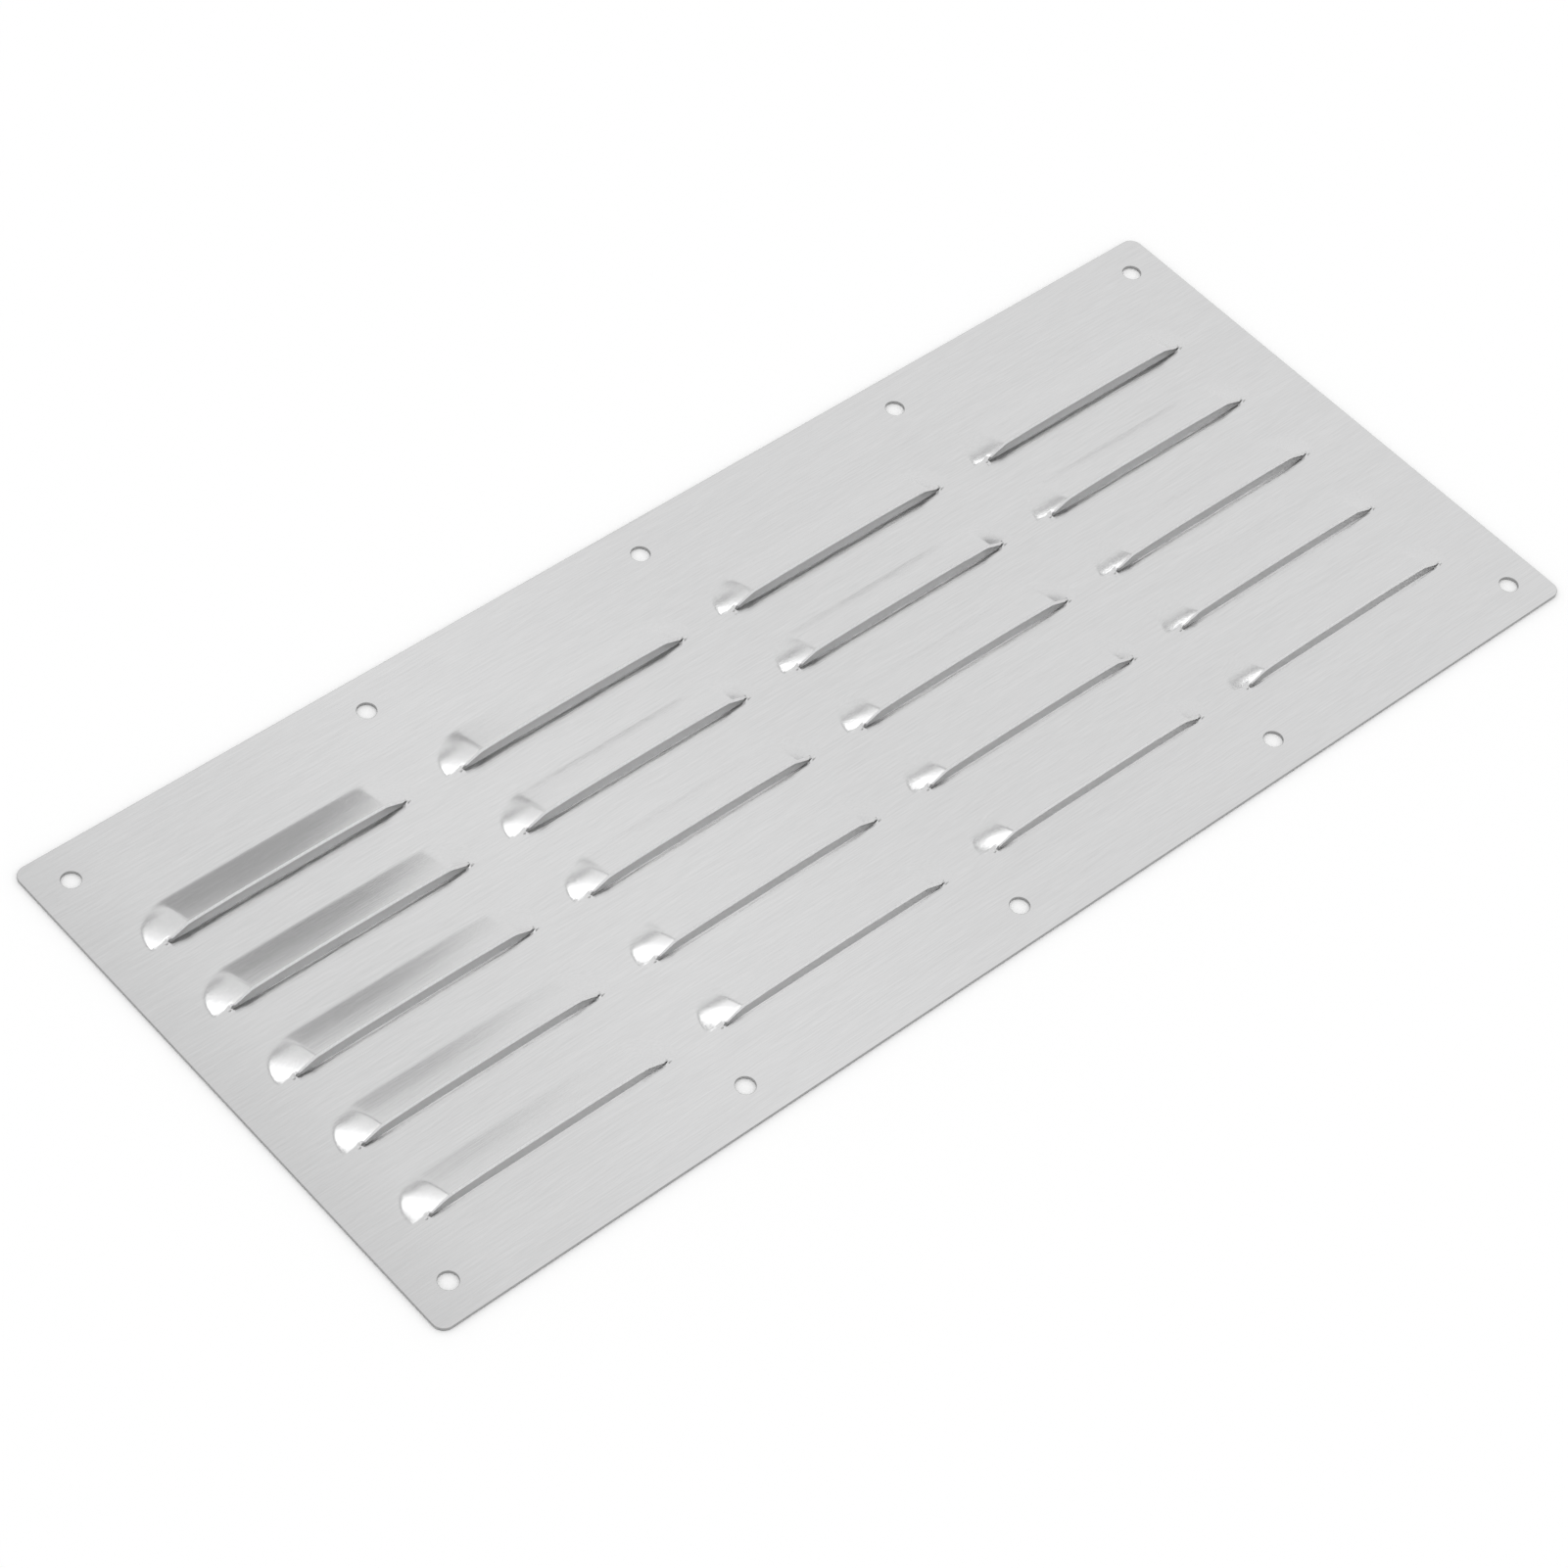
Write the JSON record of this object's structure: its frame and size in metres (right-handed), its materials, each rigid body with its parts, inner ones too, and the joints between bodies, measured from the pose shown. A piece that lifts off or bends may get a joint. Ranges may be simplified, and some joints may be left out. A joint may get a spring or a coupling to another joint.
{
  "type": "vent panel",
  "caption": "Flat rectangular sheet metal vent panel with pressed louvres in rows and screw holes along both long edges.",
  "frame": {"origin": "centre of the flat back face, midway between the long and the short edges", "axes": "+X along the length of the sheet, +Y across it towards the closed side of the louvres, +Z out of the front, the way the louvres rise; the louvre mouths face -Y"},
  "size_m": [0.381, 0.165, 0.005],
  "materials": {
    "sheet": "satin brushed along the length, grain fine and straight"
  },
  "bodies": {
    "root": {"vent_panel": "sheet"}
  },
  "joints": []
}
